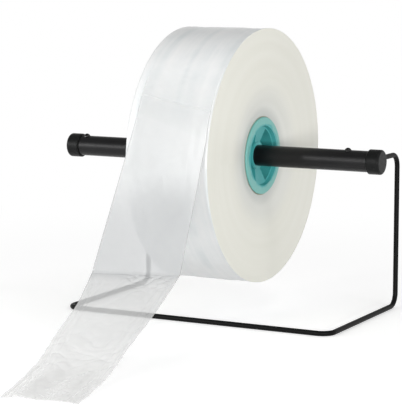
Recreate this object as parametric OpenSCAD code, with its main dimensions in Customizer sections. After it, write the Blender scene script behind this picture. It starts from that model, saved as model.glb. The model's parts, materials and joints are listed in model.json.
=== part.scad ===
// Roll of clear lay-flat poly tubing on a table-top dispenser stand.
// Millimetres. X runs along the spindle, -Y is the side the tubing is drawn from, Z = 0 is the table.
// The origin is on the table, at the middle of the whole object.

/* [Roll] */
// Outside diameter of the wound tubing
roll_d = 292; // [220:1:310]
// Lay-flat width of the tubing, which is the width of the roll
roll_w = 101.6; // [76.2:0.1:152.4]
// Place of the roll's middle along the spindle, from the spindle's middle
roll_x = 8; // [-20:1:20]
// Number of bands of turns that show as fine steps on each end face
turn_bands = 22; // [8:1:40]
// How far the bands of turns lie in or out of the end face
turn_step = 0.4; // [0.1:0.1:1]
// How far the core and the innermost turns have slid to the left of the outer turns
cone_depth = 5; // [0:0.5:8]
// How far out from the flange the slid turns reach
cone_reach = 42; // [20:1:70]
// Depth of the shallow grooves that thin places in the film leave round the roll
gauge_groove = 0.4; // [0.1:0.1:1]

/* [Core] */
// Inside diameter of the cardboard core
core_id = 76.2; // [70:0.1:80]
// Wall of the cardboard core
core_wall = 6.35; // [3:0.05:10]

/* [Core plugs] */
// Width of the flange that rests on the end of the core, from the bore of the core outwards
flange_lip = 6.3; // [2:0.1:9]
// Thickness of the flange
flange_t = 2.5; // [1.5:0.1:4]
// Wall of the plug's cup inside the core
cup_wall = 3.4; // [2:0.1:5]
// Length of the cup inside the core
cup_l = 30; // [24:1:40]
// Depth of the web below the flange's face, at the hub
web_depth = 9; // [6:0.5:12]
// How far the web rises from the hub to the wall of the cup
web_rise = 5; // [0:0.5:5]
// Thickness of the web at its full places
web_t = 14; // [10:0.5:16]
// Depth of the two pockets in the web, from its face at the hub
pocket_depth = 10; // [4:0.5:12]
// Angle that each pocket spans
pocket_angle = 136; // [60:1:140]
// Wall of the hub round the spindle
hub_wall = 3; // [2:0.1:5]

/* [Spindle] */
// Outside diameter of the spindle tube
spindle_d = 24; // [20:0.5:26]
// Wall of the spindle tube
spindle_wall = 1.5; // [1:0.1:2]
// Length of the spindle tube
spindle_l = 402; // [390:1:440]
// Height of the spindle's axis over the table
axle_h = 193; // [180:1:220]
// Wall of the end caps
cap_wall = 2; // [1.5:0.1:3]
// Length of the end caps
cap_l = 16; // [12:0.5:19]

/* [Wire stand] */
// Diameter of the bent wire
wire_d = 6; // [5:0.1:7]
// Radius of the bends, at the middle of the wire
bend_r = 15; // [10:0.5:25]
// Distance between the two sides of the base, middle to middle
stand_w = 342; // [300:1:352]
// Place of the base's middle along the spindle, from the spindle's middle
stand_x = -9; // [-12:1:12]
// Distance of the front bar in front of the spindle's axis
bar_front = 50; // [30:1:80]
// Distance of the uprights behind the spindle's axis
upright_back = 147; // [120:1:180]
// How far the arms lie below the spindle's axis
arm_drop = 7; // [6:0.1:7]

/* [Screws] */
// Free length of tube between the left cap and the screw's head
left_free = 3; // [1:1:40]
// Free length of tube between the right cap and the screw's head
right_free = 21; // [1:1:40]
// Diameter of the button head
head_d = 8; // [6:0.1:10]
// Height of the button head
head_h = 3; // [2:0.1:4]
// Diameter of the shank
shank_d = 4; // [3:0.1:5]
// Lean of the screws from upright, towards the front
screw_lean = 12; // [0:1:20]

/* [Drawn tubing] */
// Thickness of the two loose layers of film with the air between them
tail_t = 1.2; // [0.8:0.1:2]
// Distance of the fold in front of the roll
fold_out = 42; // [30:1:60]
// Height of the fold below the spindle's axis
fold_drop = 114; // [100:1:125]
// Turn of the fold about the vertical
fold_turn = 18; // [0:1:30]
// Distance of the open end in front of the roll
end_out = 300; // [260:1:340]
// Turn of the open end about the vertical
end_turn = 10; // [0:1:20]
// Share of its flat width to which the open end is gathered
end_gather = 0.8; // [0.75:0.01:1]
// Height of the gathers at the open end, which fall off from left to right
gather_h = 5; // [0:0.5:12]
// Number of gathers across the open end
gathers = 2; // [1:1:5]
// How far in from the roll's left face the left edge of the drawn film lies on the roll
left_edge_in = 10; // [0:1:20]
// How far in from the roll's right face the right edge of the drawn film lies on the roll
right_edge_in = 2; // [0:1:20]

/* [Hidden] */
$fn = 96;

// Clearances
running_gap = 0.05;
push_gap = 0.05;
wire_gap = 0.1;
tail_gap = 0.4;

roll_r = roll_d / 2;
core_od = core_id + 2 * core_wall;
core_r = core_od / 2;
core_x = roll_x - cone_depth;
spindle_r = spindle_d / 2;
spindle_bore = spindle_r - spindle_wall;
wire_r = wire_d / 2;

// Places along the spindle of the arms, which lie in from the caps, and of the sides of the base
cap_skirt = cap_l - cap_wall;
arm_right = spindle_l / 2 - cap_skirt - right_free - head_d / 2;
arm_left = -spindle_l / 2 + cap_skirt + left_free + head_d / 2;
base_right = stand_x + stand_w / 2;
base_left = stand_x - stand_w / 2;

// How far a cut runs past the face that it opens
past = 1;

// Front and back ends of the object from the spindle's axis; the origin lies halfway between
end_half_depth = roll_w * end_gather / 2 * sin(end_turn);
reach_front = roll_r + end_out + end_half_depth;
reach_back = max(upright_back + wire_r, roll_r);
axle_y = (reach_front - reach_back) / 2;

film_clear = "#DDE3E2";
film_edge = "#E2E1D6";
cardboard = "#A48F70";
teal = "#4FA9A8";
black = "#26282A";

// A unit of the object that is modelled along +Z is turned to lie along +X, on the spindle's axis
module on_spindle(x = 0) {
    translate([x, axle_y, axle_h]) rotate([0, 90, 0]) children();
}

module mirrored_on_spindle(x) {
    translate([x, axle_y, axle_h]) rotate([0, -90, 0]) children();
}

// Wound tubing

turn_pitch = (roll_r - core_r - push_gap) / turn_bands;
golden_angle = 137.5;

// Each band of turns lies a little in or out of the end face, by its own amount
function band_in(i, phase) = turn_step * (0.5 + 0.5 * sin(i * golden_angle + phase));

// How far the turns at a radius have slid to the left, so that the right face is dished. Those that
// the flange covers have slid as far as the core
function slid(r) =
    let (
        covered = max(core_r, flange_r) + turn_pitch,
        t = max(0, 1 - max(0, r - covered) / cone_reach)
    ) cone_depth * t * t;

function band_points(side, phase, i) =
    let (
        r_in = core_r + push_gap + i * turn_pitch,
        r_out = r_in + turn_pitch,
        z = side * (roll_w / 2 - band_in(i, phase))
    )
    [[r_in, z - slid(r_in)], [r_out, z - slid(r_out)]];

// Places of the grooves from the roll's right face, as shares of its width, and their half width
groove_places = [0.12, 0.30, 0.82];
groove_half = 2.5;

function groove_points(share) =
    let (z = roll_w * (0.5 - share))
    [[roll_r, z + groove_half], [roll_r - gauge_groove, z], [roll_r, z - groove_half]];

module tubing_roll() {
    last = turn_bands - 1;
    right_face = [for (i = [0:last]) each band_points(1, 0, i)];
    grooves = [for (share = groove_places) each groove_points(share)];
    left_face = [for (i = [last:-1:0]) let (pair = band_points(-1, 50, i)) each [pair[1], pair[0]]];
    color(film_edge) on_spindle(roll_x)
        rotate_extrude($fn = 180) polygon(concat(right_face, grooves, left_face));
}

// Cardboard core

module cardboard_core() {
    color(cardboard) on_spindle(core_x) difference() {
        cylinder(r = core_r, h = roll_w, center = true);
        cylinder(d = core_id, h = roll_w + 2 * past, center = true);
    }
}

// Core plugs: a flanged cup with a web, two pockets and a hub

plug_r = core_id / 2 - push_gap;
cup_r = plug_r - cup_wall;
cup_draft = 1.2;
flange_r = core_id / 2 + flange_lip;
flange_round = 1;
hub_bore = spindle_r + running_gap;
hub_r = hub_bore + hub_wall;
hub_proud = 1;
lead_in = 1.5;

// Profile of the plug: radius, and depth below the flange's outer face
plug_profile = [
    [hub_bore, web_depth - hub_proud],
    [hub_r, web_depth - hub_proud],
    [hub_r, web_depth],
    [cup_r - cup_draft, web_depth - web_rise],
    [cup_r, 0],
    [flange_r - flange_round, 0],
    [flange_r, flange_round],
    [flange_r, flange_t],
    [plug_r, flange_t],
    [plug_r, flange_t + cup_l - lead_in],
    [plug_r - lead_in, flange_t + cup_l],
    [cup_r, flange_t + cup_l],
    [cup_r - cup_draft, web_depth + web_t],
    [hub_r, web_depth + web_t],
    [hub_r, flange_t + cup_l],
    [hub_bore, flange_t + cup_l]
];

module pocket_sector(r_in, r_out, height) {
    half = pocket_angle / 2;
    rotate([0, 0, -half]) rotate_extrude(angle = pocket_angle)
        translate([r_in, 0]) square([r_out - r_in, height]);
}

// The plug with its flange's outer face up, at z = 0
module core_plug() {
    pocket_margin = 1.5;
    difference() {
        mirror([0, 0, 1]) rotate_extrude() polygon(plug_profile);
        for (turn = [90, 270])
            translate([0, 0, -web_depth - pocket_depth]) rotate([0, 0, turn])
                pocket_sector(
                    hub_r + pocket_margin, cup_r - cup_draft - pocket_margin, web_depth + pocket_depth + past);
    }
}

plug_face = roll_w / 2 + flange_t;

module core_plug_right() {
    color(teal) on_spindle(core_x + plug_face) core_plug();
}

module core_plug_left() {
    color(teal) mirrored_on_spindle(core_x - plug_face) core_plug();
}

// Spindle tube with a cross hole for each arm and a screw hole for each screw

arm_z = axle_h - arm_drop;
arm_tip = 2.5;
arm_hole_r = wire_r + wire_gap;
screw_hole_r = shank_d / 2 + push_gap;

module at_screw(x) {
    translate([x, axle_y, axle_h]) rotate([screw_lean, 0, 0]) children();
}

module spindle_tube() {
    color(black) difference() {
        on_spindle() cylinder(r = spindle_r, h = spindle_l, center = true);
        on_spindle() cylinder(r = spindle_bore, h = spindle_l + 2 * past, center = true);
        for (x = [arm_left, arm_right]) {
            translate([x, axle_y - arm_tip - wire_gap, arm_z]) rotate([-90, 0, 0])
                cylinder(r = arm_hole_r, h = spindle_d);
            at_screw(x) cylinder(r = screw_hole_r, h = spindle_d);
        }
    }
}

// End caps pushed over the tube's ends

cap_r = spindle_r + push_gap + cap_wall;
cap_round = 2.5;
cap_taper = 1.2;

// The cap with its closed end up, at z = 0 where the tube ends
module end_cap() {
    rim = -cap_skirt;
    difference() {
        rotate_extrude() union() {
            translate([0, rim + cap_taper]) square([cap_r, cap_l - cap_taper - cap_round]);
            translate([0, rim]) square([cap_r - cap_round, cap_l]);
            polygon([[0, rim], [cap_r - cap_taper, rim], [cap_r, rim + cap_taper], [0, rim + cap_taper]]);
            translate([cap_r - cap_round, cap_wall - cap_round]) circle(r = cap_round, $fn = 32);
        }
        translate([0, 0, rim - past]) cylinder(r = spindle_r + push_gap, h = cap_skirt + past);
    }
}

module end_cap_right() {
    color(black) on_spindle(spindle_l / 2) end_cap();
}

module end_cap_left() {
    color(black) mirrored_on_spindle(-spindle_l / 2) end_cap();
}

// Button-head screws that clamp the arms inside the tube

seat_gap = 0.02;
shank_tip_gap = 0.6;
socket_af = 2.5;
socket_depth = 1.5;

module button_screw() {
    head_r = head_d / 2;
    dome_r = (head_r * head_r + head_h * head_h) / (2 * head_h);
    seat = spindle_r + seat_gap;
    shank_end = -arm_drop + wire_r + shank_tip_gap;
    difference() {
        union() {
            intersection() {
                translate([0, 0, seat + head_h - dome_r]) sphere(r = dome_r, $fn = 64);
                translate([0, 0, seat]) cylinder(r = head_r, h = head_h + past, $fn = 48);
            }
            translate([0, 0, shank_end]) cylinder(d = shank_d, h = seat - shank_end + past, $fn = 32);
        }
        translate([0, 0, seat + head_h - socket_depth])
            cylinder(r = socket_af / 2 / cos(30), h = socket_depth + past, $fn = 6);
    }
}

module screw_right() {
    color(black) at_screw(arm_right) button_screw();
}

module screw_left() {
    color(black) at_screw(arm_left) button_screw();
}

// Stand: one wire, bent from the right arm round the base to the left arm

wire_front = axle_y - bar_front;
wire_back = axle_y + upright_back;

// A straight length of wire between two points
module wire_run(p, q) {
    v = q - p;
    translate(p) rotate([0, acos(v[2] / norm(v)), atan2(v[1], v[0])]) cylinder(r = wire_r, h = norm(v));
}

// A quarter bend at a corner that the wire comes into along a and leaves along b
module wire_bend(corner, a, b) {
    c = corner + bend_r * (b - a);
    n = cross(a, b);
    multmatrix([
        [-b[0], a[0], n[0], c[0]],
        [-b[1], a[1], n[1], c[1]],
        [-b[2], a[2], n[2], c[2]],
        [0, 0, 0, 1]
    ]) rotate_extrude(angle = 90) translate([bend_r, 0]) circle(r = wire_r, $fn = 48);
}

// One side of the stand, from the arm's tip down and forward to the front corner. The upright, with
// its two bends, leans as one where the base is wider or narrower than the arms
module wire_side(arm_x, base_x, inward) {
    top = [arm_x, wire_back, arm_z];
    heel = [base_x, wire_back, wire_r];
    toe = [base_x, wire_front, wire_r];
    backward = [0, 1, 0];
    down = [0, 0, -1];
    foot = norm(heel - top) * down;
    lean = atan2(arm_x - base_x, arm_z - wire_r);
    wire_run([arm_x, axle_y - arm_tip, arm_z], top - bend_r * backward);
    translate(top) rotate([0, lean, 0]) {
        wire_bend([0, 0, 0], backward, down);
        wire_run(bend_r * down, foot - bend_r * down);
        wire_bend(foot, down, -backward);
    }
    wire_run(heel - bend_r * backward, toe + bend_r * backward);
    wire_bend(toe, -backward, inward);
}

module wire_stand() {
    color(black) {
        wire_side(arm_right, base_right, [-1, 0, 0]);
        wire_side(arm_left, base_left, [1, 0, 0]);
        wire_run([base_left + bend_r, wire_front, wire_r], [base_right - bend_r, wire_front, wire_r]);
    }
}

// Drawn tubing: it lies on the roll, leaves it along a slanted line, runs taut to a fold, and
// sags from there to the table, where its open end is gathered

tail_r = roll_r + tail_gap + tail_t / 2;
wrap_start = 50;
across = 24;
wrap_rows = 8;
web_rows = 5;
bag_rows = 16;

// Stations from the fold to the open end: offset in X, share of the way out, share of the fold's
// height, turn, and share of the flat width
tail_way = [
    [-14.5, 0.00, 1.00, fold_turn, 0.965],
    [-10.5, 0.19, 0.64, 14, 0.89],
    [-9.5, 0.40, 0.30, 0, 0.91],
    [1.5, 0.62, 0.08, -2, 0.89],
    [26.5, 1.00, 0.00, end_turn, end_gather]
];
last_station = len(tail_way) - 1;

// Catmull-Rom curve through four values
function curve(a, b, c, d, t) =
    0.5 * (2 * b + (c - a) * t + (2 * a - 5 * b + 4 * c - d) * t * t + (3 * b - a - 3 * c + d) * t * t * t);

function station(i) = tail_way[max(0, min(last_station, i))];

// Row values at v, from 0 at the fold to 1 at the open end
function way(v) =
    let (s = v * last_station, i = min(floor(s), last_station - 1), t = s - i)
    curve(station(i - 1), station(i), station(i + 1), station(i + 2), t);

fold_h = axle_h - fold_drop - tail_t / 2;

function gather(u, v) = gather_h * v * v * (1 - u) * (1 - cos(360 * gathers * u)) / 2;

// A point of the sheet's middle between the fold and the open end
function bag_point(u, v) =
    let (w = way(v), side = (u - 0.5) * roll_w * w[4], out = fold_out + (end_out - fold_out) * w[1])
    [roll_x + w[0] + side * cos(w[3]),
     axle_y - roll_r - out + side * sin(w[3]),
     tail_t / 2 + max(0, w[2]) * fold_h + gather(u, v)];

// Angle over the horizontal at which the film leaves the roll on its straight way to a point
function leave_angle(p) =
    let (y = axle_y - p[1], z = p[2] - axle_h)
    atan2(z, y) + acos(tail_r / norm([y, z]));

// The drawn film is a little narrower than the roll where it lies on it
film_left = roll_x - roll_w / 2 + left_edge_in;
film_right = roll_x + roll_w / 2 - right_edge_in;

function on_roll(u, angle) =
    [(1 - u) * film_left + u * film_right, axle_y - tail_r * cos(angle), axle_h + tail_r * sin(angle)];

// A point of the sheet's middle: s counts rows from the start on the roll
function sheet_point(s, u) =
    let (fold = bag_point(u, 0), leave = leave_angle(fold))
    s < wrap_rows ? on_roll(u, wrap_start + (leave - wrap_start) * s / wrap_rows)
    : s < wrap_rows + web_rows ?
        let (t = (s - wrap_rows) / web_rows) (1 - t) * on_roll(u, leave) + t * fold
    : bag_point(u, (s - wrap_rows - web_rows) / bag_rows);

rows = wrap_rows + web_rows + bag_rows;

function sheet_normal(s, u) =
    let (
        ds = 0.5,
        du = 0.5 / across,
        along = sheet_point(min(s + ds, rows), u) - sheet_point(max(s - ds, 0), u),
        side = sheet_point(s, min(u + du, 1)) - sheet_point(s, max(u - du, 0)),
        n = cross(along, side)
    ) n / norm(n);

module tubing_tail() {
    cols = across + 1;
    layer = (rows + 1) * cols;
    front = [for (s = [0:rows]) for (c = [0:across])
        sheet_point(s, c / across) + sheet_normal(s, c / across) * tail_t / 2];
    back = [for (s = [0:rows]) for (c = [0:across])
        sheet_point(s, c / across) - sheet_normal(s, c / across) * tail_t / 2];
    function at(s, c) = s * cols + c;
    skin = [for (s = [0:rows - 1]) for (c = [0:across - 1]) each [
        [at(s, c), at(s + 1, c), at(s + 1, c + 1)],
        [at(s, c), at(s + 1, c + 1), at(s, c + 1)]]];
    lining = [for (f = skin) [layer + f[2], layer + f[1], layer + f[0]]];
    left = [for (s = [0:rows - 1]) each [
        [at(s, 0), layer + at(s, 0), at(s + 1, 0)],
        [at(s + 1, 0), layer + at(s, 0), layer + at(s + 1, 0)]]];
    right = [for (s = [0:rows - 1]) each [
        [at(s, across), at(s + 1, across), layer + at(s, across)],
        [at(s + 1, across), layer + at(s + 1, across), layer + at(s, across)]]];
    start = [for (c = [0:across - 1]) each [
        [at(0, c), at(0, c + 1), layer + at(0, c)],
        [at(0, c + 1), layer + at(0, c + 1), layer + at(0, c)]]];
    mouth = [for (c = [0:across - 1]) each [
        [at(rows, c), layer + at(rows, c), at(rows, c + 1)],
        [at(rows, c + 1), layer + at(rows, c), layer + at(rows, c + 1)]]];
    color(film_clear) polyhedron(concat(front, back), concat(skin, lining, left, right, start, mouth));
}

tubing_roll();
tubing_tail();
cardboard_core();
core_plug_right();
core_plug_left();
spindle_tube();
end_cap_right();
end_cap_left();
screw_right();
screw_left();
wire_stand();
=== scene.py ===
"""A roll of clear poly tubing on a wire dispenser stand: its film, finish, light and camera."""
import json
import math

import bpy
import numpy as np
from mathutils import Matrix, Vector, noise

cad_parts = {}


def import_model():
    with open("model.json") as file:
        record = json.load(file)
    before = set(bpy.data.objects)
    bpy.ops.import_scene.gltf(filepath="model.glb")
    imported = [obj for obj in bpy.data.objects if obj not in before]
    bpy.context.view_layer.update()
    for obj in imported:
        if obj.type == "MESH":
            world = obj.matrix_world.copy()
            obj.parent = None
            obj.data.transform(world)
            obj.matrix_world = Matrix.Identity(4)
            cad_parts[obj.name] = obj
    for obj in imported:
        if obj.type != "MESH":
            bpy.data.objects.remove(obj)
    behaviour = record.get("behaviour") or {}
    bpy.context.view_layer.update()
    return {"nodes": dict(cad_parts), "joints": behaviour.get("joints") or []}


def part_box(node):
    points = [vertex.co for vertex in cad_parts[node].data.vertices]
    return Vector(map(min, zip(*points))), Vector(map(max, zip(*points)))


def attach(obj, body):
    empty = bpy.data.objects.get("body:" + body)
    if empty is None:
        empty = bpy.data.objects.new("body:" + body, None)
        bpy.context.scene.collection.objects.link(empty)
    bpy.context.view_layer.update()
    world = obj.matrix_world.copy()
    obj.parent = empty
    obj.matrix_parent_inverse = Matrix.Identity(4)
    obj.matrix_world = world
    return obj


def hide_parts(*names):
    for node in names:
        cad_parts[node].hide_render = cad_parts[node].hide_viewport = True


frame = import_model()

MM = 0.001

# Driving places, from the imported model
AXLE = Vector(frame["joints"][0]["pos_m"])
ROLL_LO, ROLL_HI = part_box("tubing_roll")
CORE_LO, CORE_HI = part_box("cardboard_core")
FLANGE_LO, FLANGE_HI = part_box("core_plug_right")
ROLL_W = CORE_HI.x - CORE_LO.x
ROLL_R = round((ROLL_HI.z - ROLL_LO.z) / 2, 4)
CORE_R = (CORE_HI.z - CORE_LO.z) / 2
FLANGE_R = (FLANGE_HI.z - FLANGE_LO.z) / 2
CONE_DEPTH = AXLE.x - (CORE_LO.x + CORE_HI.x) / 2


# Small helpers

def shader(name, **values):
    """A material with one Principled shader, its own sockets set directly."""
    mat = bpy.data.materials.new(name)
    mat.use_nodes = True
    nodes = mat.node_tree.nodes
    bsdf = nodes["Principled BSDF"]
    for key, value in values.items():
        bsdf.inputs[key.replace("_", " ")].default_value = value
    return mat, nodes, mat.node_tree.links, bsdf


def add(nodes, kind, **settings):
    """A new node, with its inputs and its settings given by name."""
    node = nodes.new(kind)
    for key, value in settings.items():
        if key in node.inputs:
            node.inputs[key].default_value = value
        else:
            setattr(node, key, value)
    return node


def ramp(nodes, stops, interpolation="LINEAR"):
    """A colour ramp of (place, colour) stops, where a colour is a grey level or three numbers."""
    node = nodes.new("ShaderNodeValToRGB")
    node.color_ramp.interpolation = interpolation
    elements = node.color_ramp.elements
    while len(elements) > 1:
        elements.remove(elements[0])
    for k, (place, colour) in enumerate(stops):
        element = elements[0] if k == 0 else elements.new(place)
        element.position = place
        rgb = colour if hasattr(colour, "__len__") else (colour,) * 3
        element.color = (*rgb, 1)
    return node


def math_node(nodes, links, operation, *inputs):
    """The output of a sum on numbers and sockets."""
    node = nodes.new("ShaderNodeMath")
    node.operation = operation
    for k, value in enumerate(inputs):
        if isinstance(value, (int, float)):
            node.inputs[k].default_value = value
        else:
            links.new(value, node.inputs[k])
    return node.outputs[0]


def bump(nodes, links, bsdf, height, distance, strength):
    """Fine relief on a shader from a height socket."""
    node = add(nodes, "ShaderNodeBump", Distance=distance, Strength=strength)
    links.new(height, node.inputs["Height"])
    links.new(node.outputs["Normal"], bsdf.inputs["Normal"])


def mesh_piece(name, points, faces, materials, body):
    """A smooth mesh that rides a body and stands for a material slot."""
    mesh = bpy.data.meshes.new(name)
    mesh.from_pydata([tuple(p) for p in points], [], faces)
    mesh.validate()
    mesh.polygons.foreach_set("use_smooth", [True] * len(mesh.polygons))
    mesh.update()
    obj = bpy.data.objects.new(name, mesh)
    bpy.context.scene.collection.objects.link(obj)
    for mat in materials:
        mesh.materials.append(mat)
    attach(obj, body)
    return obj


def roll_coordinates(nodes, links):
    """Radius, turn angle and place along the axis of a point, about the spindle's axis, in metres."""
    place = add(nodes, "ShaderNodeTexCoord")
    centred = add(nodes, "ShaderNodeVectorMath", operation="SUBTRACT")
    links.new(place.outputs["Object"], centred.inputs[0])
    centred.inputs[1].default_value = AXLE
    axes = add(nodes, "ShaderNodeSeparateXYZ")
    links.new(centred.outputs[0], axes.inputs[0])
    x, y, z = axes.outputs
    squares = math_node(nodes, links, "ADD", math_node(nodes, links, "MULTIPLY", y, y),
                        math_node(nodes, links, "MULTIPLY", z, z))
    radius = math_node(nodes, links, "SQRT", squares)
    angle = math_node(nodes, links, "ARCTAN2", z, y)
    return radius, angle, x


def combine(nodes, links, *parts):
    """A vector from up to three numbers or sockets."""
    node = nodes.new("ShaderNodeCombineXYZ")
    for k, part in enumerate(parts):
        if isinstance(part, (int, float)):
            node.inputs[k].default_value = part
        else:
            links.new(part, node.inputs[k])
    return node.outputs[0]


# Materials

# Colour, cover and roughness of one layer of film: on the roll, on the web, and slack at the open end; the
# slack colour is whiter by painted light from the floor under it
WOUND_COLOUR = (0.79, 0.80, 0.80)
WEB_COLOUR, WEB_ALPHA = (0.55, 0.56, 0.565), 0.59
SLACK_COLOUR_WITH_PAINTED_LIGHT, SLACK_ALPHA = (0.95, 0.95, 0.935), 0.36
WRAP_ROUGHNESS, WEB_ROUGHNESS, SLACK_ROUGHNESS = 0.25, 0.2, 0.11
# Place of the web between the roll, at 0, and the open end, at 1, as the film's colour counts it
WEB_WAY = 0.3
# Painted shade on the wound edges, darker towards the core: its change per metre outward from the core, and
# the width of a dark brownish ring just past the flange
CORE_SHADE_RATE = 22.0
FLANGE_RING_WIDTH = 0.6 * MM
# Black finishes: colour, roughness, scale of the grain and gloss level
BLACK_FINISHES = {
    "tube_coat": ((0.006, 0.006, 0.0065), 0.34, 500.0, 0.26),
    "wire_coat": ((0.004, 0.004, 0.004), 0.45, 700.0, 0.1),
    "cap_vinyl": ((0.006, 0.0065, 0.0065), 0.42, 400.0, 0.15),
    "screw_black": ((0.008, 0.008, 0.008), 0.25, 900.0, 0.5),
}


def end_face_material():
    """The wound edges of the film: creamy and smooth, with a radial sheen from its fine turns, and painted
    shade that darkens them towards the core.
    """
    mat, nodes, links, bsdf = shader(
        "wound_edges", Roughness=0.36, Anisotropic=0.8, Specular_IOR_Level=0.5)
    radius, angle, _ = roll_coordinates(nodes, links)
    fine = add(nodes, "ShaderNodeTexNoise", noise_dimensions="2D", Scale=1.0, Detail=4.0)
    turn_lines = combine(nodes, links, math_node(nodes, links, "MULTIPLY", radius, 2600.0),
                         math_node(nodes, links, "MULTIPLY", angle, 1.2), 0.0)
    links.new(turn_lines, fine.inputs["Vector"])
    broad = add(nodes, "ShaderNodeTexNoise", noise_dimensions="2D", Scale=1.0, Detail=2.0)
    broad_lines = combine(nodes, links, math_node(nodes, links, "MULTIPLY", radius, 90.0),
                          math_node(nodes, links, "MULTIPLY", angle, 0.5), 0.0)
    links.new(broad_lines, broad.inputs["Vector"])
    tone = math_node(nodes, links, "ADD", math_node(nodes, links, "MULTIPLY", fine.outputs[0], 0.3),
                     math_node(nodes, links, "MULTIPLY", broad.outputs[0], 0.7))
    cream = ramp(nodes, [(0.30, (0.77, 0.765, 0.69)), (0.70, (0.80, 0.795, 0.725))])
    links.new(tone, cream.inputs[0])
    # A dark brownish ring just past the flange, then painted shade that darkens the wound edges towards the
    # core
    ring_end = (FLANGE_R - CORE_R + FLANGE_RING_WIDTH) * CORE_SHADE_RATE
    core_shade_and_ring = ramp(nodes, [(ring_end, (0.50, 0.46, 0.38)), (ring_end + 0.02, (0.74, 0.76, 0.80)),
                             (0.35, (0.92, 0.93, 0.96)), (1.0, (1, 1, 1))], "EASE")
    links.new(math_node(nodes, links, "MULTIPLY",
                        math_node(nodes, links, "SUBTRACT", radius, CORE_R), CORE_SHADE_RATE),
              core_shade_and_ring.inputs[0])
    mix = add(nodes, "ShaderNodeMix", data_type="RGBA", blend_type="MULTIPLY")
    mix.inputs[0].default_value = 1.0
    links.new(cream.outputs[0], mix.inputs[6])
    links.new(core_shade_and_ring.outputs[0], mix.inputs[7])
    links.new(mix.outputs[2], bsdf.inputs["Base Color"])
    tangent = add(nodes, "ShaderNodeTangent", direction_type="RADIAL", axis="X")
    links.new(tangent.outputs[0], bsdf.inputs["Tangent"])
    bump(nodes, links, bsdf, fine.outputs[0], 0.00005, 0.25)
    return mat


def roll_side_material():
    """The outer turns: milky glossy film with bands round the roll, haze and fine creases."""
    mat, nodes, links, bsdf = shader(
        "outer_turns", Roughness=0.38, Specular_IOR_Level=0.3, Coat_Weight=0.3, Coat_Roughness=0.08)
    _, angle, x = roll_coordinates(nodes, links)
    bands = add(nodes, "ShaderNodeTexNoise", noise_dimensions="2D", Scale=1.0, Detail=3.0)
    links.new(combine(nodes, links, math_node(nodes, links, "MULTIPLY", x, 75.0),
                      math_node(nodes, links, "MULTIPLY", angle, 0.45), 0.0), bands.inputs["Vector"])
    haze = add(nodes, "ShaderNodeTexNoise", noise_dimensions="2D", Scale=1.0, Detail=4.0)
    links.new(combine(nodes, links, math_node(nodes, links, "MULTIPLY", x, 30.0),
                      math_node(nodes, links, "MULTIPLY", angle, 4.0), 0.0), haze.inputs["Vector"])
    tone = math_node(nodes, links, "ADD", math_node(nodes, links, "MULTIPLY", bands.outputs[0], 0.6),
                     math_node(nodes, links, "MULTIPLY", haze.outputs[0], 0.4))
    colour = ramp(nodes, [(0.32, (0.68, 0.71, 0.715)), (0.50, (0.765, 0.78, 0.78)),
                          (0.66, (0.81, 0.815, 0.81))])
    links.new(tone, colour.inputs[0])
    links.new(colour.outputs[0], bsdf.inputs["Base Color"])
    creases = add(nodes, "ShaderNodeTexVoronoi", feature="DISTANCE_TO_EDGE", voronoi_dimensions="2D")
    creases.inputs["Scale"].default_value = 1.0
    slant = math_node(nodes, links, "ADD", math_node(nodes, links, "MULTIPLY", angle, 9.0),
                      math_node(nodes, links, "MULTIPLY", x, 60.0))
    links.new(combine(nodes, links, math_node(nodes, links, "MULTIPLY", x, 45.0), slant, 0.0),
              creases.inputs["Vector"])
    edge = ramp(nodes, [(0.0, 1.0), (0.10, 0.0)], "EASE")
    links.new(creases.outputs["Distance"], edge.inputs[0])
    height = math_node(nodes, links, "ADD", math_node(nodes, links, "MULTIPLY", edge.outputs[0], 0.25),
                       haze.outputs[0])
    bump(nodes, links, bsdf, height, 0.0006, 0.3)
    return mat


def film_material():
    """Thin clear film: milky on the roll, hazy on the taut web and clearer where it is slack, with painted
    light that keeps the web lighter near the roll and makes the slack film whiter.

    The attribute "cover" fades it into the roll, and "way" goes from the roll to the open end.
    """
    mat, nodes, links, bsdf = shader("drawn_film", Specular_IOR_Level=0.45)
    cover = add(nodes, "ShaderNodeAttribute", attribute_name="cover")
    along = add(nodes, "ShaderNodeAttribute", attribute_name="way")
    # Painted light: the web stays lighter near the roll and the slack film turns whiter, standing in for
    # light from the roll and the floor
    colour = ramp(nodes, [(0.0, WOUND_COLOUR), (WEB_WAY, WEB_COLOUR), (1.0, SLACK_COLOUR_WITH_PAINTED_LIGHT)])
    links.new(along.outputs["Fac"], colour.inputs[0])
    links.new(colour.outputs[0], bsdf.inputs["Base Color"])
    haze = add(nodes, "ShaderNodeTexNoise", Scale=26.0, Detail=3.0)
    place = add(nodes, "ShaderNodeTexCoord")
    links.new(place.outputs["Object"], haze.inputs["Vector"])
    cloud = ramp(nodes, [(0.3, 0.90), (0.7, 1.0)])
    links.new(haze.outputs[0], cloud.inputs[0])
    gloss = ramp(nodes, [(0.0, WRAP_ROUGHNESS), (WEB_WAY, WEB_ROUGHNESS), (WEB_WAY + 0.1, SLACK_ROUGHNESS)])
    links.new(along.outputs["Fac"], gloss.inputs[0])
    links.new(gloss.outputs[0], bsdf.inputs["Roughness"])
    body = ramp(nodes, [(WEB_WAY, WEB_ALPHA), (1.0, SLACK_ALPHA)])
    links.new(along.outputs["Fac"], body.inputs[0])
    share = math_node(nodes, links, "MULTIPLY", cloud.outputs[0], body.outputs[0])
    links.new(math_node(nodes, links, "MULTIPLY", cover.outputs["Fac"], share), bsdf.inputs["Alpha"])
    wrinkle = add(nodes, "ShaderNodeTexNoise", Scale=38.0, Detail=6.0, Distortion=1.2)
    links.new(place.outputs["Object"], wrinkle.inputs["Vector"])
    bump(nodes, links, bsdf, wrinkle.outputs[0], 0.002, 0.22)
    return mat


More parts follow.
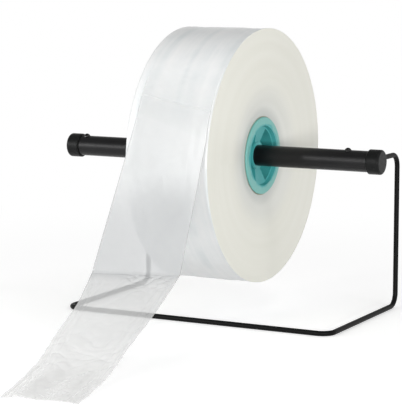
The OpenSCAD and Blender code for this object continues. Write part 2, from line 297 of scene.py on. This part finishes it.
def black_material(name):
    """Black coat or moulding with a fine grain and slightly uneven gloss."""
    colour, roughness, grain, gloss_level = BLACK_FINISHES[name]
    mat, nodes, links, bsdf = shader(
        name, Base_Color=(*colour, 1), Specular_IOR_Level=gloss_level)
    place = add(nodes, "ShaderNodeTexCoord")
    peel = add(nodes, "ShaderNodeTexNoise", Scale=grain, Detail=3.0)
    links.new(place.outputs["Object"], peel.inputs["Vector"])
    gloss = ramp(nodes, [(0.3, roughness - 0.05), (0.7, roughness + 0.05)])
    links.new(peel.outputs[0], gloss.inputs[0])
    links.new(gloss.outputs[0], bsdf.inputs["Roughness"])
    bump(nodes, links, bsdf, peel.outputs[0], 0.0002, 0.2)
    return mat


def teal_material():
    """Moulded teal plastic, with painted shade that makes it darker deep inside the plug and paler out on
    the flange.
    """
    mat, nodes, links, bsdf = shader("teal_moulding", Roughness=0.38, Specular_IOR_Level=0.3)
    place = add(nodes, "ShaderNodeTexCoord")
    mottle = add(nodes, "ShaderNodeTexNoise", Scale=60.0, Detail=4.0)
    links.new(place.outputs["Object"], mottle.inputs["Vector"])
    radius, _, _ = roll_coordinates(nodes, links)
    uneven = math_node(nodes, links, "MULTIPLY", mottle.outputs[0], 0.3)
    outward = math_node(nodes, links, "DIVIDE", radius, FLANGE_R)
    # Painted shade: dark teal inside the plug's recess, paler teal on the flange
    colour = ramp(nodes, [(0.95, (0.065, 0.385, 0.385)), (1.08, (0.19, 0.47, 0.435))])
    links.new(math_node(nodes, links, "ADD", outward, uneven), colour.inputs[0])
    links.new(colour.outputs[0], bsdf.inputs["Base Color"])
    grain = add(nodes, "ShaderNodeTexNoise", Scale=900.0, Detail=2.0)
    links.new(place.outputs["Object"], grain.inputs["Vector"])
    bump(nodes, links, bsdf, grain.outputs[0], 0.00008, 0.3)
    return mat


def board_material():
    """Spiral-wound core board with a paper grain."""
    mat, nodes, links, bsdf = shader("core_board", Roughness=0.85, Specular_IOR_Level=0.2)
    place = add(nodes, "ShaderNodeTexCoord")
    fibres = add(nodes, "ShaderNodeTexNoise", Scale=350.0, Detail=5.0)
    links.new(place.outputs["Object"], fibres.inputs["Vector"])
    colour = ramp(nodes, [(0.3, (0.26, 0.20, 0.14)), (0.7, (0.40, 0.33, 0.25))])
    links.new(fibres.outputs[0], colour.inputs[0])
    links.new(colour.outputs[0], bsdf.inputs["Base Color"])
    bump(nodes, links, bsdf, fibres.outputs[0], 0.0003, 0.4)
    return mat


# Wound film

FACE_POINTS = 72
SIDE_POINTS = 56
ROLL_SEGMENTS = 360
TURN_BANDS = 22
CONE_REACH = 42 * MM
GROOVE_PLACES = (0.10, 0.21, 0.82)
GROOVE_DEPTH = 0.5 * MM
GROOVE_HALF = 5.5 * MM
FACE_STEP = 0.12 * MM
DENT_DEPTH = 0.35 * MM
RIM = 0.6 * MM


def slid(radius):
    """How far the turns at a radius have slid to the left, which dishes the right face."""
    covered = max(CORE_R, FLANGE_R) + (ROLL_R - CORE_R) / TURN_BANDS
    share = max(0, 1 - max(0, radius - covered) / CONE_REACH)
    return CONE_DEPTH * share * share


def face_depth(radius, seed):
    """How far the wound edges lie inside the end face at a radius."""
    slow = noise.noise(Vector((radius * 110, seed, 0)))
    quick = noise.noise(Vector((radius * 600, seed, 5)))
    return FACE_STEP * (0.5 + 0.4 * slow + 0.3 * quick)


def groove_depth(share):
    """Depth of the shallow grooves round the roll at a share of its width from the right."""
    depth = 0
    for place in GROOVE_PLACES:
        away = (share - place) * ROLL_W / GROOVE_HALF
        depth += GROOVE_DEPTH * math.exp(-away * away)
    return depth


def side_crinkle(angle, x):
    """Small inward dents where the outer turns of film are loose."""
    p = Vector((angle * 7 + x * 40, x * 70, 2.0))
    ridge = 1 - abs(noise.noise(p)) * 2
    patch = max(0, noise.noise(Vector((angle * 1.3, x * 16, 9.0))) + 0.15)
    return DENT_DEPTH * ridge * ridge * patch


def wound_film():
    """The wound film as one turned profile, with its faces and its outer turns in two finishes."""
    radii = np.linspace(CORE_R, ROLL_R - RIM, FACE_POINTS)
    shares = np.linspace(0, 1, SIDE_POINTS)
    profile = [(r, ROLL_W / 2 - face_depth(r, 1) - slid(r), 0) for r in radii]
    profile += [(None, ROLL_W * (0.5 - share), share) for share in shares]
    profile += [(r, -ROLL_W / 2 + face_depth(r, 2) - slid(r), 0) for r in radii[::-1]]
    count = len(profile)
    points = []
    for k in range(ROLL_SEGMENTS):
        angle = 2 * math.pi * k / ROLL_SEGMENTS
        around = math.sin(angle)
        for radius, x, share in profile:
            if radius is None:
                radius = ROLL_R - groove_depth(share) - side_crinkle(around * 3 + math.cos(angle), x)
            points.append((AXLE.x + x, AXLE.y + radius * math.cos(angle), AXLE.z + radius * math.sin(angle)))
    faces = []
    for k in range(ROLL_SEGMENTS):
        here, there = k * count, (k + 1) % ROLL_SEGMENTS * count
        for j in range(count):
            nxt = (j + 1) % count
            faces.append((here + j, there + j, there + nxt, here + nxt))
    piece = mesh_piece("wound_film", points, faces,
                       [end_face_material(), roll_side_material()], "roll")
    on_side = [FACE_POINTS <= j % count < FACE_POINTS + SIDE_POINTS - 1 for j in range(len(faces))]
    piece.data.polygons.foreach_set("material_index", [int(flag) for flag in on_side])
    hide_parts("tubing_roll")


# Drawn tubing: the same way as the solid's, at a finer step, as two layers joined at the edges

FILM_T = 1.2 * MM
TAIL_R = ROLL_R + 0.4 * MM + FILM_T / 2
WRAP_START = math.radians(50)
FOLD_OUT = 42 * MM
FOLD_DROP = 114 * MM
END_OUT = 300 * MM
END_GATHER = 0.8
GATHER_H = 5 * MM
GATHERS = 2
FILM_LEFT = AXLE.x - ROLL_W / 2 + 10 * MM
FILM_RIGHT = AXLE.x + ROLL_W / 2 - 2 * MM
# From the fold to the open end: offset in X, share of the way out, share of height, turn, share of width
WAY = np.array([
    [-14.5 * MM, 0.00, 1.00, 18, 0.965],
    [-10.5 * MM, 0.19, 0.64, 14, 0.89],
    [-9.5 * MM, 0.40, 0.30, 0, 0.91],
    [1.5 * MM, 0.62, 0.08, -2, 0.89],
    [26.5 * MM, 1.00, 0.00, 10, END_GATHER],
])
FOLD_H = AXLE.z - FOLD_DROP - FILM_T / 2
WRAP_ROWS, WEB_ROWS, BAG_ROWS, ACROSS = 24, 40, 200, 110


def way(v):
    """The station values at v, from 0 at the fold to 1 at the open end, on a Catmull-Rom curve."""
    last = len(WAY) - 1
    s = v * last
    i = min(int(s), last - 1)
    t = s - i
    a, b, c, d = (WAY[max(0, min(last, i + k))] for k in (-1, 0, 1, 2))
    return 0.5 * (2 * b + (c - a) * t + (2 * a - 5 * b + 4 * c - d) * t * t
                  + (3 * b - a - 3 * c + d) * t * t * t)


def bag_point(u, v):
    """A point of the slack tubing: u across it from the left, v from the fold to the open end."""
    x, out, height, turn, width = way(v)
    side = (u - 0.5) * ROLL_W * width
    reach = FOLD_OUT + (END_OUT - FOLD_OUT) * out
    gather = GATHER_H * v * v * (1 - u) * (1 - math.cos(2 * math.pi * GATHERS * u)) / 2
    turn = math.radians(turn)
    return Vector((AXLE.x + x + side * math.cos(turn),
                   AXLE.y - ROLL_R - reach + side * math.sin(turn),
                   FILM_T / 2 + max(0, height) * FOLD_H + gather))


def on_roll(u, angle):
    """A point of the tubing where it lies on the roll, at an angle over the level of the axle."""
    return Vector(((1 - u) * FILM_LEFT + u * FILM_RIGHT,
                   AXLE.y - TAIL_R * math.cos(angle), AXLE.z + TAIL_R * math.sin(angle)))


def sheet_point(s, u):
    """A point of the drawn tubing's middle: s counts rows from the start on the roll."""
    if s >= WRAP_ROWS + WEB_ROWS:
        return bag_point(u, (s - WRAP_ROWS - WEB_ROWS) / BAG_ROWS)
    fold = bag_point(u, 0)
    y, z = AXLE.y - fold.y, fold.z - AXLE.z
    leave = math.atan2(z, y) + math.acos(TAIL_R / math.hypot(y, z))
    if s < WRAP_ROWS:
        return on_roll(u, WRAP_START + (leave - WRAP_START) * s / WRAP_ROWS)
    t = (s - WRAP_ROWS) / WEB_ROWS
    return on_roll(u, leave).lerp(fold, t)


# Gap between the two layers at the fold and its growth to the open end, and the least height of the film
LAYER_GAP, GAP_GROWTH = 0.25 * MM, 1.2 * MM
TABLE_GAP = 0.15 * MM
# Crest of the fold, with its half width in rows, and how fast the start on the roll fades in
CREST, CREST_ROWS = 0.9 * MM, 1.2
FADE_POWER = 1.5
# Shares of the way's change, with the painted light that whitens the slack film, that come right after the
# fold and slowly to the open end
FOLD_SHARE, SLOW_SHARE = 0.35, 0.65
# Heights of crumples under the fold, of folds across and of small ones, and the lower layer's share
KNOT_HEIGHT, CROSS_HEIGHT, SMALL_HEIGHT = 3.0 * MM, 1.6 * MM, 0.7 * MM
LOWER_SHARE = 0.5
# Long folds beside the two edges: place across, sway, half width and height
EDGE_FOLDS = (
    (0.07, 0.012, 0.016, 1.3 * MM),
    (0.15, 0.020, 0.022, 1.0 * MM),
    (0.84, 0.020, 0.020, 1.2 * MM),
    (0.93, 0.012, 0.014, 1.5 * MM),
)


def step(low, high, value):
    """0 below low, 1 above high and a smooth rise between."""
    t = min(1, max(0, (value - low) / (high - low)))
    return t * t * (3 - 2 * t)


def ridges(x, y, seed):
    """Sharp-crested noise from 0 to 1."""
    return max(0, 1 - 2.2 * abs(noise.noise(Vector((x, y, seed)))))


def creases(u, v, layer):
    """Height of the small folds of the loose film between the fold and the open end."""
    height = 0
    for place, sway, half, high in EDGE_FOLDS:
        middle = place + sway * math.sin(11 * v + 9 * place)
        away = (u - middle) / half
        height += high * math.exp(-away * away) * step(0, 0.12, v)
    knot = step(0.30, 0.55, u) * (1 - step(0.88, 1.0, u)) * (1 - step(0.05, 0.20, v)) * step(0, 0.015, v)
    height += KNOT_HEIGHT * knot * ridges(u * 7 + v * 16, v * 26 - u * 5, layer) ** 2
    cross = step(0.25, 0.6, v) * (1 - 0.5 * step(0.9, 1, v))
    height += CROSS_HEIGHT * cross * ridges(u * 2.5 + v * 7, v * 9 - u * 3, layer * 3 + 1) ** 3
    height += SMALL_HEIGHT * step(0, 0.1, v) * ridges(u * 4, v * 11, layer * 5 + 2) ** 2
    return height


def drawn_tubing():
    """The tubing's two layers as one closed loop across, swept along its way."""
    rows = WRAP_ROWS + WEB_ROWS + BAG_ROWS
    grid = [[sheet_point(s, c / ACROSS) for c in range(ACROSS + 1)] for s in range(rows + 1)]
    normal = [[None] * (ACROSS + 1) for _ in range(rows + 1)]
    for s in range(rows + 1):
        for c in range(ACROSS + 1):
            along = grid[min(s + 1, rows)][c] - grid[max(s - 1, 0)][c]
            side = grid[s][min(c + 1, ACROSS)] - grid[s][max(c - 1, 0)]
            normal[s][c] = side.cross(along).normalized()
    points, cover, along_way = [], [], []
    loop = [(c, 1) for c in range(ACROSS + 1)] + [(c, -1) for c in range(ACROSS - 1, 0, -1)]
    fold_row = WRAP_ROWS + WEB_ROWS
    for s in range(rows + 1):
        v = max(0, s - fold_row) / BAG_ROWS
        crest = CREST * math.exp(-((s - fold_row) / CREST_ROWS) ** 2)
        for c, layer in loop:
            u = c / ACROSS
            swell = math.sqrt(max(0, 4 * u * (1 - u)))
            gap = (LAYER_GAP + GAP_GROWTH * v) * swell
            crumple = creases(u, v, layer) * (1 if layer > 0 else LOWER_SHARE) if v > 0 else 0
            share = 0.5 - (grid[s][c].x - AXLE.x) / ROLL_W
            crumple -= groove_depth(share) * (1 - step(WRAP_ROWS, WRAP_ROWS + 0.5 * WEB_ROWS, s))
            p = grid[s][c] + normal[s][c] * (layer * gap / 2 + crumple + crest)
            p.z = max(p.z, TABLE_GAP + (gap if layer > 0 else 0))
            points.append(p)
            cover.append(min(1, s / WRAP_ROWS) ** FADE_POWER)
            # The slow rise over the web keeps it lighter near the roll, painted light it picks up from the
            # roll
            along_way.append(WEB_WAY * step(WRAP_ROWS, WRAP_ROWS + 0.7 * WEB_ROWS, s)
                             + (1 - WEB_WAY) * (FOLD_SHARE * step(0, 0.1, v) + SLOW_SHARE * step(0, 1, v)))
    count = len(loop)
    faces = []
    for s in range(rows):
        for j in range(count):
            nxt = (j + 1) % count
            faces.append((s * count + j, s * count + nxt, (s + 1) * count + nxt, (s + 1) * count + j))
    under = [c if c in (0, ACROSS) else count - c for c in range(ACROSS + 1)]
    faces += [tuple(dict.fromkeys((c, under[c], under[c + 1], c + 1))) for c in range(ACROSS)]
    piece = mesh_piece("drawn_tubing", points, faces,
                       [film_material()], "stand")
    for name, values in (("cover", cover), ("way", along_way)):
        attribute = piece.data.attributes.new(name, "FLOAT", "POINT")
        attribute.data.foreach_set("value", values)
    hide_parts("tubing_tail")


# Finish of the CAD nodes

def paint(material, *names):
    """Puts a material on CAD nodes."""
    for name in names:
        node = frame["nodes"][name]
        node.data.materials.clear()
        node.data.materials.append(material)


def finish_nodes():
    paint(black_material("tube_coat"), "spindle_tube")
    paint(black_material("wire_coat"), "wire_stand")
    paint(black_material("cap_vinyl"), "end_cap_right", "end_cap_left")
    paint(black_material("screw_black"), "screw_right", "screw_left")
    paint(teal_material(), "core_plug_right", "core_plug_left")
    paint(board_material(), "cardboard_core")


# Studio

# Floor: half its side, and the strength of its own white, which with the light on it gives about 1
FLOOR_HALF = 8.0
FLOOR_GLOW = 0.44
# Where the floor starts to fade to white and where it is white, as shares of its half side
FADE_FROM, FADE_TO = 0.04, 0.13
# Brightness of the sky over the sine of the height
SKY = [(0.20, 1.0), (0.60, 0.36), (1.0, 0.30)]
# Camera: place from the axle, degrees down and to the left, and lens, from outlines in the photograph
CAMERA_PLACE = Vector((0.9576, -1.8769, 0.2337))
CAMERA_DOWN, CAMERA_TURN, LENS = 8.09, 27.84, 156.6
# How far before the axle the lamps aim
AIM_FORWARD = 0.1
# Lamps: azimuth from the front to the right, height, distance, width and height of the lamp, and watts
LIGHTS = (
    ("key", -50, 8, 2.4, (1.2, 0.8), 23),
    ("right", 42, 0, 2.4, (0.6, 0.35), 24),
    ("fill", 80, 14, 2.2, (0.9, 0.9), 2),
    ("strip", -20, 12, 2.0, (0.10, 1.1), 7),
    ("top", 80, 58, 1.8, (0.35, 0.5), 3),
)


def seen_rays(nodes, links):
    """1 for rays from the camera or by way of gloss or clear material, which see the background."""
    path = nodes.new("ShaderNodeLightPath")
    either = math_node(nodes, links, "MAXIMUM", path.outputs["Is Camera Ray"], path.outputs["Is Glossy Ray"])
    return math_node(nodes, links, "MAXIMUM", either, path.outputs["Is Transmission Ray"])


def floor():
    """A white floor that keeps the object's shadow near it and fades to pure white far from it."""
    far = FLOOR_HALF
    mesh = bpy.data.meshes.new("floor")
    mesh.from_pydata([(-far, -far, 0), (far, -far, 0), (far, far, 0), (-far, far, 0)], [], [(0, 1, 2, 3)])
    obj = bpy.data.objects.new("floor", mesh)
    bpy.context.scene.collection.objects.link(obj)
    mat = bpy.data.materials.new("floor_white")
    mat.use_nodes = True
    nodes, links = mat.node_tree.nodes, mat.node_tree.links
    nodes.clear()
    seen = seen_rays(nodes, links)
    matt = add(nodes, "ShaderNodeBsdfDiffuse", Color=(0.85, 0.85, 0.85, 1))
    glow = add(nodes, "ShaderNodeEmission")
    links.new(math_node(nodes, links, "MULTIPLY", seen, FLOOR_GLOW), glow.inputs["Strength"])
    near = nodes.new("ShaderNodeAddShader")
    links.new(matt.outputs[0], near.inputs[0])
    links.new(glow.outputs[0], near.inputs[1])
    place = nodes.new("ShaderNodeTexCoord")
    distance = add(nodes, "ShaderNodeVectorMath", operation="LENGTH")
    links.new(place.outputs["Object"], distance.inputs[0])
    fade = ramp(nodes, [(FADE_FROM, 0.0), (FADE_TO, 1.0)], "EASE")
    links.new(math_node(nodes, links, "DIVIDE", distance.outputs["Value"], far), fade.inputs[0])
    white = nodes.new("ShaderNodeEmission")
    pick = nodes.new("ShaderNodeMixShader")
    links.new(math_node(nodes, links, "MULTIPLY", fade.outputs[0], seen), pick.inputs[0])
    links.new(near.outputs[0], pick.inputs[1])
    links.new(white.outputs[0], pick.inputs[2])
    out = nodes.new("ShaderNodeOutputMaterial")
    links.new(pick.outputs[0], out.inputs["Surface"])
    mesh.materials.append(mat)


def area_light(name, place, target, size, watts):
    data = bpy.data.lights.new(name, "AREA")
    data.shape = "RECTANGLE"
    data.size, data.size_y = size
    data.energy = watts
    obj = bpy.data.objects.new(name, data)
    bpy.context.scene.collection.objects.link(obj)
    obj.location = place
    obj.rotation_euler = (Vector(target) - Vector(place)).to_track_quat("-Z", "Y").to_euler()


def world():
    """White at and below eye level, and darker overhead."""
    scene = bpy.context.scene
    scene.world = bpy.data.worlds.new("studio")
    scene.world.use_nodes = True
    nodes, links = scene.world.node_tree.nodes, scene.world.node_tree.links
    nodes.clear()
    place = nodes.new("ShaderNodeTexCoord")
    axes = nodes.new("ShaderNodeSeparateXYZ")
    links.new(place.outputs["Generated"], axes.inputs[0])
    sky = ramp(nodes, SKY)
    links.new(axes.outputs[2], sky.inputs[0])
    soft = add(nodes, "ShaderNodeBackground", Strength=1.0)
    links.new(sky.outputs[0], soft.inputs["Color"])
    out = nodes.new("ShaderNodeOutputWorld")
    links.new(soft.outputs[0], out.inputs["Surface"])


def camera():
    data = bpy.data.cameras.new("camera")
    data.lens = LENS
    data.sensor_width = 36
    data.clip_end = 50
    obj = bpy.data.objects.new("camera", data)
    bpy.context.scene.collection.objects.link(obj)
    obj.location = AXLE + CAMERA_PLACE
    obj.rotation_euler = (math.radians(90 - CAMERA_DOWN), 0, math.radians(CAMERA_TURN))
    bpy.context.scene.camera = obj


def lights():
    middle = Vector((AXLE.x, AXLE.y - AIM_FORWARD, AXLE.z))
    for name, azimuth, height, distance, size, watts in LIGHTS:
        turn, rise = math.radians(azimuth), math.radians(height)
        aim = Vector((math.sin(turn) * math.cos(rise), -math.cos(turn) * math.cos(rise), math.sin(rise)))
        area_light(name, middle + distance * aim, middle, size, watts)


camera()
world()
lights()
floor()
wound_film()
drawn_tubing()
finish_nodes()
bpy.context.scene.view_settings.view_transform = "Standard"
